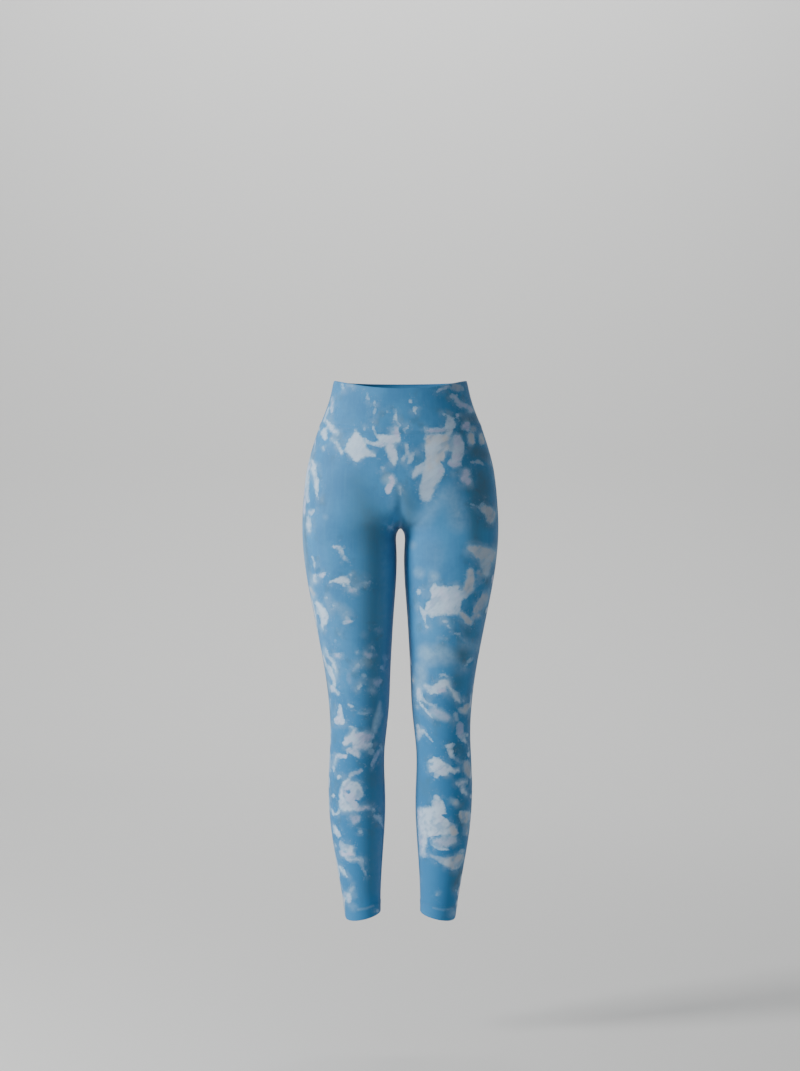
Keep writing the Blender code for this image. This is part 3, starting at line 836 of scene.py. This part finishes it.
def dye_and_painted_shading_of(places, normals):
    """What the cloth's material needs to know at each point: millimetres to the edge of the white and
    of the blue islands in it, how white, blurred and tinted it is, and clouds and pools, with
    painted light and painted shade among them."""
    count = len(places)
    weight = np.full(count, math.exp(-REACH / JOINING))
    sums = {name: weight * value for name, value in FAR_OFF.items()}
    island = np.full(count, REACH)
    veils = {"cloud_and_painted_light": np.zeros(count), "pool": np.zeros(count)}
    for across, up, turned, seed, kept in sides_of_the_dye(places, normals):

        def reached(blots):
            for blot in soaked_through(blots, seed, kept):
                near = in_reach(blot, across, up, turned)
                if len(near):
                    yield blot, near, blot_distance(blot, across[near], up[near]) + turned[near]

        for blot, near, distance in reached(WHITES):
            pull = np.exp(-distance / JOINING)
            weight[near] += pull
            for name in sums:
                sums[name][near] += pull * getattr(blot, name)
        for blot, near, distance in reached(ISLANDS):
            island[near] = np.minimum(island[near], distance)
        for name, blots in (("cloud_and_painted_light", CLOUDS_AND_PAINTED_LIGHT), ("pool", DYE_POOLS_AND_PAINTED_SHADE)):
            for blot, near, distance in reached(blots):
                veil = blot.white * np.clip(0.5 - distance / (2 * blot.blur), 0, 1)
                veils[name][near] = 1 - (1 - veils[name][near]) * (1 - veil)
    painted = {name: total / weight for name, total in sums.items()}
    return {"edge": -JOINING * np.log(weight), "island": island, **painted, **veils}


# The cloth's finish: a fine matte knit with a soft sheen. The charted blots get their ragged
# edges here, from noise that moves the edge by a few millimetres. Inside, the white turns from
# pale blue at the edge to grey-white and lilac, and the blue is mottled.
def both_ways(operation):
    """An operator and its reflected form."""
    return (
        lambda value, other: value.worked(operation, value, other),
        lambda value, other: value.worked(operation, other, value),
    )


class Value:
    """A number that varies over the cloth. Sums with it add their own Math nodes."""

    def __init__(self, tree, socket):
        self.tree = tree
        self.socket = socket

    def worked(self, operation, *terms):
        node = self.tree.nodes.new("ShaderNodeMath")
        node.operation = operation
        for slot, term in zip(node.inputs, terms):
            if isinstance(term, Value):
                self.tree.links.new(term.socket, slot)
            else:
                slot.default_value = term
        return Value(self.tree, node.outputs[0])

    __add__, __radd__ = both_ways("ADD")
    __sub__, __rsub__ = both_ways("SUBTRACT")
    __mul__, __rmul__ = both_ways("MULTIPLY")
    __truediv__, __rtruediv__ = both_ways("DIVIDE")

    def __neg__(self):
        return 0 - self

    def sine(self):
        return self.worked("SINE", self)

    def size(self):
        return self.worked("ABSOLUTE", self)


# The Mix node's sockets for colours, by number, because several have the same name.
MIX_SHARE, MIX_FIRST, MIX_SECOND, MIX_RESULT = 0, 6, 7, 2


class Finish:
    """A material that is built up from nodes, each added by one call."""

    def __init__(self, name):
        self.material = bpy.data.materials.new(name)
        self.material.use_nodes = True
        self.tree = self.material.node_tree
        self.shader = self.tree.nodes["Principled BSDF"]

    def add(self, kind, settings=None, inputs=None, output=0):
        node = self.tree.nodes.new(kind)
        for name, value in (settings or {}).items():
            setattr(node, name, value)
        for name, value in (inputs or {}).items():
            self.set(node.inputs[name], value)
        return Value(self.tree, node.outputs[output])

    def set(self, socket, value):
        if isinstance(value, Value):
            self.tree.links.new(value.socket, socket)
        else:
            socket.default_value = value

    def shade(self, **inputs):
        """Sets or links the shader's sockets, named with underscores for spaces."""
        for name, value in inputs.items():
            self.set(self.shader.inputs[name.replace("_", " ")], value)

    def painted(self, name):
        return self.add("ShaderNodeAttribute", {"attribute_name": name}, output="Fac")

    def noise(self, place, scale, detail=2.0, roughness=0.5):
        """Noise about zero, between about -0.5 and 0.5."""
        inputs = {"Vector": place, "Scale": scale, "Detail": detail, "Roughness": roughness}
        return self.add("ShaderNodeTexNoise", {}, inputs) - 0.5

    def step(self, value, low, high):
        """0 below one value, 1 above another, and smooth between."""
        inputs = {"Value": value, "From Min": low, "From Max": high}
        return self.add("ShaderNodeMapRange", {"interpolation_type": "SMOOTHSTEP"}, inputs)

    def blend(self, share, first, second):
        """One colour turning into another."""
        settings = {"data_type": "RGBA", "clamp_factor": True}
        inputs = {MIX_SHARE: share, MIX_FIRST: first, MIX_SECOND: second}
        return self.add("ShaderNodeMix", settings, inputs, output=MIX_RESULT)

    def covered(self, colour, *coats):
        """A colour with coats over it in turn, each a share and a colour."""
        for share, coat in coats:
            colour = self.blend(share, colour, coat)
        return colour


WALE = 0.0011  # the width of a column of the knit's loops
COURSE = 0.0010  # the height of a row of them
LOOP_HEIGHT = 0.00012
# Millimetres inside a blot's edge, negative outside it, between which each of these sets in.
THINNER_DYE = (-17, -1)
DARK_SPOTS = (-26, -8)
PALE_CENTRE = (-0.5, 4.0)
ISLAND_EDGE = (-1.3, 1.3)
# The dye where it took fully, from its deepest to where it ran thin. The lower legs' colour is painted
# shade, the pools' partly painted shade and the clouds' partly painted light.
DEEP_BLUE = (0.046, 0.190, 0.396, 1)
OPEN_BLUE = (0.061, 0.247, 0.490, 1)
STREAK_BLUE = (0.10, 0.34, 0.56, 1)
LOWER_LEG_SHADE_BLUE = (0.032, 0.185, 0.405, 1)
POOL_AND_PAINTED_SHADE_BLUE = (0.064, 0.148, 0.220, 1)
CLOUD_AND_PAINTED_LIGHT_BLUE = (0.26, 0.45, 0.62, 1)
HALO_BLUE = (0.24, 0.40, 0.57, 1)
# The cloth that it missed, and what is left of it there.
PALE_WHITE = (0.50, 0.65, 0.82, 1)
LILAC_WHITE = (0.54, 0.57, 0.79, 1)
GREY_WHITE = (0.57, 0.58, 0.60, 1)
EDGE_STAIN = (0.26, 0.47, 0.67, 1)
VEIN_STAIN = (0.22, 0.36, 0.52, 1)
FLECK_STAIN = (0.32, 0.45, 0.60, 1)
MIST_STAIN = (0.24, 0.40, 0.60, 1)


# The knit's material, whose colour carries painted light and painted shade as well as the dye.
def dyed_knit_with_painted_shading(name):
    finish = Finish(name)
    place = finish.add("ShaderNodeTexCoord", output="Object")
    grain = finish.add("ShaderNodeUVMap", {"uv_map": "grain"})
    grain_across = finish.add("ShaderNodeSeparateXYZ", {}, {0: grain}, output="X")
    grain_up = finish.add("ShaderNodeSeparateXYZ", {}, {0: grain}, output="Y")

    # Noise of several sizes, from wide lobes to a frayed edge, and where the edge runs soft.
    lobes = finish.noise(place, 48, 1.0)
    ragged = finish.noise(place, 120, 2.5, 0.6)
    frayed = finish.noise(place, 380)
    drifts = finish.noise(place, 20)
    running = finish.step(finish.noise(place, 30, 1.5), 0.0, 0.18)

    edge = finish.painted("edge") + lobes * 4 + ragged * 8 + frayed * 4
    blur = finish.painted("blur") * (0.75 + running * 3.2)
    inside = finish.step(-(edge / blur), -0.7, 0.7)
    island = finish.painted("island") + ragged * 7 + frayed * 3
    inside = inside * finish.step(island, *ISLAND_EDGE)

    # Round the white the dye is thinner, with pale flecks and, further out, darker spots.
    near = finish.step(-edge, *THINNER_DYE)
    halo = near * near * finish.step(lobes + ragged * 0.5, -0.1, 0.3) * 0.40
    halo = halo + near * finish.step(finish.noise(place, 210, 2.0, 0.55), 0.11, 0.19) * 0.30
    around = finish.step(-edge, *DARK_SPOTS)
    spots = around * finish.step(finish.noise(place, 44), 0.05, 0.2) * 0.34
    # Clouds and pools from the chart, which also carry painted light and painted shade.
    veil = finish.painted("cloud_and_painted_light") * (1.0 + drifts * 1.2 + ragged * 1.4)
    pool = finish.painted("pool") * (1.0 + drifts + ragged * 0.8) + spots

    # The blue drifts lighter and darker, with faint streaks along the grain. Lower down the legs it is
    # painted darker and deeper, as shade. Pools add painted shade and clouds painted light.
    stretched = finish.add("ShaderNodeMapping", {}, {"Vector": place, "Scale": (240, 240, 8)})
    streaks = finish.step(finish.noise(stretched, 1.0), -0.1, 0.4)
    lower_leg_shade = finish.step(-grain_up, 0.45, 0.7)
    blue = finish.covered(
        finish.blend(finish.step(drifts + ragged * 0.3, -0.3, 0.3), DEEP_BLUE, OPEN_BLUE),
        (streaks * 0.16, STREAK_BLUE),
        (lower_leg_shade * 0.8, LOWER_LEG_SHADE_BLUE),
        (pool, POOL_AND_PAINTED_SHADE_BLUE),
        (veil, CLOUD_AND_PAINTED_LIGHT_BLUE),
        (halo, HALO_BLUE),
    )

    # The white is pale blue at its edge, then grey-white, lilac or grey, with thin veins of dye. Lower
    # down the legs more blue mist lies over it, painted shade as on the blue.
    tint = finish.painted("tint") + finish.noise(place, 46) * 1.9
    turned = finish.add("ShaderNodeMapping", {}, {"Vector": place, "Rotation": (0, 0.75, 0)})
    strokes = finish.add("ShaderNodeMapping", {}, {"Vector": turned, "Scale": (34, 60, 96)})
    veins = finish.step(-finish.noise(strokes, 1.0, 2.0, 0.6).size(), -0.06, -0.004)
    mist = finish.step(finish.noise(place, 56, 2.0, 0.6), -0.03, 0.17)
    white = finish.covered(
        finish.blend(finish.step(tint, -0.1, 0.8), PALE_WHITE, LILAC_WHITE),
        (finish.step(-tint, 0.2, 1.2), GREY_WHITE),
        (veins * 0.14, VEIN_STAIN),
        (finish.step(ragged, 0.1, 0.3) * 0.35, FLECK_STAIN),
        (mist * (0.22 + lower_leg_shade * 0.5), MIST_STAIN),
    )
    white = finish.blend(finish.step(-edge, *PALE_CENTRE), EDGE_STAIN, white)
    thin = finish.step(finish.noise(strokes, 1.0, 2.5, 0.55), -0.02, 0.2)
    missed = inside * finish.painted("white") * (1.0 - thin * 0.42)

    wales = (grain_across * (math.tau / WALE)).sine()
    courses = (grain_up * (math.tau / COURSE)).sine()
    loops = wales * 0.6 + courses * wales * 0.4 + finish.noise(place, 1600, 1.0) * 0.8
    relief = {"Strength": 0.35, "Distance": LOOP_HEIGHT, "Height": loops}
    finish.shade(
        Base_Color=finish.blend(missed, blue, white),
        Roughness=0.52 + ragged * 0.06,
        Normal=finish.add("ShaderNodeBump", {}, relief),
        Specular_IOR_Level=0.10,
        Sheen_Weight=0.05,
        Sheen_Roughness=0.45,
        Sheen_Tint=(0.70, 0.86, 1.0, 1.0),
    )
    return finish.material


# Cutting a panel out of the cloth. Its cut edge rolls in a little, as a sewn edge is drawn down
# by its thread, and reaches a hair under its neighbour's, so that no light comes through a seam.
EDGE_ROLL = 0.0008
EDGE_SINK = 0.0005
EDGE_REACH = 0.12  # of the roll's width
SHARP_ANGLE = 50  # degrees, past which an edge of the wall shows as one


def pick(piece):
    """Make it the active piece, and the only one that is selected."""
    deselect_all()
    piece.select_set(True)
    bpy.context.view_layer.objects.active = piece


def cut_panel(name, belongs, wall, material):
    """One panel as a closed thin wall. belongs says, from a face's place on the grain map,
    whether it is on this panel."""
    cut = cloth.copy()
    grain = cut.loops.layers.uv["grain"]
    others = []
    for face in cut.faces:
        across = sum(loop[grain].uv.x for loop in face.loops) / len(face.loops)
        up = sum(loop[grain].uv.y for loop in face.loops) / len(face.loops)
        if not belongs(across, up):
            others.append(face)
    bmesh.ops.delete(cut, geom=others, context="FACES")
    bmesh.ops.inset_region(
        cut, faces=cut.faces[:], thickness=EDGE_ROLL, use_boundary=True, use_even_offset=True
    )
    places, normals = places_and_normals(cut)
    for vertex in cut.verts:
        if vertex.is_boundary:
            inward = next(edge for edge in vertex.link_edges if not edge.is_boundary)
            outward = vertex.co - inward.other_vert(vertex).co
            vertex.co += outward * EDGE_REACH - vertex.normal * EDGE_SINK
    mesh = bpy.data.meshes.new(name)
    cut.to_mesh(mesh)
    cut.free()
    for attribute_name, values in dye_and_painted_shading_of(places, normals).items():
        attribute = mesh.attributes.new(attribute_name, "FLOAT", "POINT")
        attribute.data.foreach_set("value", values.astype(np.float32))
    mesh.materials.append(material)
    panel = add_object(name, mesh)
    thickness = panel.modifiers.new("wall", "SOLIDIFY")
    thickness.thickness = wall
    thickness.offset = -1
    pick(panel)
    bpy.ops.object.modifier_apply(modifier=thickness.name)
    bpy.ops.object.shade_smooth_by_angle(angle=math.radians(SHARP_ANGLE))
    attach(panel, "root")
    return panel


body_knit = dyed_knit_with_painted_shading("tie-dyed knit with painted shading")

# Front panel: one piece of knit for the belly and the front of both legs, with no seam down the
# middle. It is sewn to the backs at the sides and inseams, and its hems are turned up.
BODY_WALL = 0.0010
front_panel = cut_panel(
    "front_panel",
    lambda across, up: up < WAIST_SEAM and abs(across) < SIDE_SEAM,
    BODY_WALL,
    body_knit,
)
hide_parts("front")

# Back panels: one piece of knit for the seat and back of each leg. They meet at the centre back
# in the rise seam.
for side_name, half in (("left", 1), ("right", -1)):
    back_panel = cut_panel(
        f"back_panel_{side_name}",
        lambda across, up: up < WAIST_SEAM and across * half > SIDE_SEAM,
        BODY_WALL,
        body_knit,
    )
    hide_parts(f"back_{side_name}")

# Waistband: a wide double band of the same knit, folded at its top edge, in two halves that are
# joined at the sides. Its lower edge is sewn over the body panels.
BAND_WALL = 0.0020
band_knit = dyed_knit_with_painted_shading("tie-dyed double knit with painted shading")
for end, way in (("front", 1), ("back", -1)):
    band = cut_panel(
        f"waistband_{end}_half",
        lambda across, up: up > WAIST_SEAM and (SIDE_SEAM - abs(across)) * way > 0,
        BAND_WALL,
        band_knit,
    )
    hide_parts(f"waistband_{end}")

# Sewing. The sides, inseams and centre back are flat seams: two rows of fine stitches beside the
# join, and a cover thread that zigzags across it. Each hem and the waistband's lower allowance are
# held by two parallel rows. The polyester thread is dyed to the cloth's blue.
STITCH = 0.0030  # from one stitch to the next
STITCH_FILL = 0.94  # of that, taken by the stitch itself
THREAD = 0.00019  # half its thickness
THREAD_LIFT = 0.9  # of that, out of the cloth
ROW_ASIDE = 0.0016
HEM_ROWS = (0.0, 0.0028)
BAND_ROWS = (0.0024, 0.0052)
MARGIN = 0.001  # left without stitches at the ends of a seam
THREAD_BLUE = (0.050, 0.185, 0.350, 1)
THREAD_PALE = (0.095, 0.300, 0.500, 1)

thread = Finish("sewing thread")
thread_place = thread.add("ShaderNodeTexCoord", output="Object")
thread_drift = thread.step(thread.noise(thread_place, 30), -0.2, 0.3)
twist = thread.noise(thread_place, 2600, 1.0)
twist_relief = {"Strength": 0.3, "Distance": 0.00008, "Height": twist}
thread.shade(
    Base_Color=thread.blend(thread_drift, THREAD_BLUE, THREAD_PALE),
    Roughness=0.5 + twist * 0.1,
    Normal=thread.add("ShaderNodeBump", {}, twist_relief),
)

# One stitch, modelled once: a short spindle of thread, thinner where it dives into the cloth.
deselect_all()
bpy.ops.mesh.primitive_uv_sphere_add(segments=5, ring_count=4, radius=1.0)
stitch = bpy.context.object
stitch.scale = (THREAD, THREAD, 0.5)
bpy.ops.object.transform_apply(location=False, rotation=False, scale=True)
# A sphere's points come in another order each time, so they are put in order by their places.
ordered = sorted(stitch.data.vertices, key=lambda vertex: [round(value, 7) for value in vertex.co])
rank = {vertex.index: place for place, vertex in enumerate(ordered)}
stitch_shape = [vertex.co.copy() for vertex in ordered]
stitch_faces = []
for face in stitch.data.polygons:
    corners = [rank[v] for v in face.vertices]
    first = corners.index(min(corners))
    stitch_faces.append(corners[first:] + corners[:first])
stitch_faces.sort()
bpy.data.objects.remove(stitch)

cloth_tree = BVHTree.FromBMesh(cloth)


def grain_line(half, way, place, low=-1.0, high=1.0):
    """The cloth's points along a level or an upright line of its grain, in order."""
    grain = cloth.loops.layers.uv["grain"]
    found = {}
    for face in cloth.faces:
        if sum(loop[grain].uv.x for loop in face.loops) * half > 0:
            for loop in face.loops:
                across, up = abs(loop[grain].uv.x), loop[grain].uv.y
                fixed, running = (up, across) if way == "level" else (across, up)
                if abs(fixed - place) < SAME and low < running < high:
                    found[round(running, 6)] = loop.vert.co.copy()
    return [found[running] for running in sorted(found)]


def spaced(line, spacing):
    """Points at even spacing along a line."""
    lengths = [0.0]
    for start, end in zip(line, line[1:]):
        lengths.append(lengths[-1] + (end - start).length)
    count = max(2, round(lengths[-1] / spacing))
    points = []
    i = 0
    for n in range(count + 1):
        along = lengths[-1] * n / count
        while i < len(line) - 2 and lengths[i + 1] < along:
            i += 1
        share = (along - lengths[i]) / max(lengths[i + 1] - lengths[i], 1e-9)
        points.append(line[i].lerp(line[i + 1], min(share, 1)))
    return points


def beside(points, aside):
    """The points moved sideways over the cloth, each with the way out of the cloth."""
    moved = []
    for i, point in enumerate(points):
        ahead = points[min(i + 1, len(points) - 1)] - points[max(i - 1, 0)]
        out = cloth_tree.find_nearest(point)[1]
        place = point + out.cross(ahead).normalized() * aside
        place, out = cloth_tree.find_nearest(place)[:2]
        moved.append((place, out))
    return moved


def sew(name, threads):
    """Stitches joined into one piece. threads has the ends of each, and the way out there."""
    vertices = []
    faces = []
    for (start, out_start), (end, out_end) in threads:
        along = end - start
        out = (out_start + out_end).normalized()
        aside = along.cross(out).normalized()
        middle = start.lerp(end, 0.5) + out * THREAD * THREAD_LIFT
        first = len(vertices)
        for x, y, z in stitch_shape:
            vertices.append(middle + aside * x + out * y + along * z * STITCH_FILL)
        faces += [tuple(first + corner for corner in face) for face in stitch_faces]
    mesh = bpy.data.meshes.new(name)
    mesh.from_pydata(vertices, [], faces)
    mesh.materials.append(thread.material)
    piece = add_object(name, mesh)
    pick(piece)
    bpy.ops.object.mode_set(mode="EDIT")
    bpy.ops.mesh.select_all(action="SELECT")
    bpy.ops.mesh.normals_make_consistent(inside=False)
    bpy.ops.object.mode_set(mode="OBJECT")
    bpy.ops.object.shade_smooth()
    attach(piece, "root")


def parallel_rows(line, *asides):
    """The stitches of rows beside a line."""
    stitches = []
    for aside in asides:
        points = beside(spaced(line, STITCH), aside)
        stitches += zip(points, points[1:])
    return stitches


def flat_seam(line):
    """Two rows beside a join, and the cover thread from one to the other and back."""
    points = spaced(line, STITCH)
    left, right = beside(points, ROW_ASIDE), beside(points, -ROW_ASIDE)
    across = [(left[i], right[i + 1]) for i in range(0, len(points) - 1, 2)]
    back = [(right[i], left[i + 1]) for i in range(1, len(points) - 1, 2)]
    return parallel_rows(line, ROW_ASIDE, -ROW_ASIDE) + across + back


for side_name, half in (("left", 1), ("right", -1)):
    side_seam = grain_line(half, "upright", SIDE_SEAM, HEM_EDGE + MARGIN, WAIST_SEAM - MARGIN)
    inseam = grain_line(half, "upright", 0, HEM_EDGE + 2 * MARGIN, CROTCH.side - 6 * MARGIN)
    band_join = grain_line(half, "upright", SIDE_SEAM, WAIST_SEAM + MARGIN, -2 * MARGIN)
    hem = parallel_rows(grain_line(half, "level", HEM_STITCHING), *HEM_ROWS)
    band_edge = grain_line(half, "level", WAIST_SEAM)
    band = parallel_rows(band_edge, *(rise * half for rise in BAND_ROWS))
    sew(f"side_seam_stitches_{side_name}", flat_seam(side_seam))
    sew(f"inseam_stitches_{side_name}", flat_seam(inseam))
    sew(f"waistband_join_stitches_{side_name}", flat_seam(band_join))
    sew(f"hem_stitches_{side_name}", hem)
    sew(f"waistband_stitches_{side_name}", band)
rise_seam = grain_line(1, "upright", 2 * SIDE_SEAM, CROTCH.side + 2 * MARGIN, WAIST_SEAM - MARGIN)
sew("centre_back_stitches", flat_seam(rise_seam))

cloth.free()
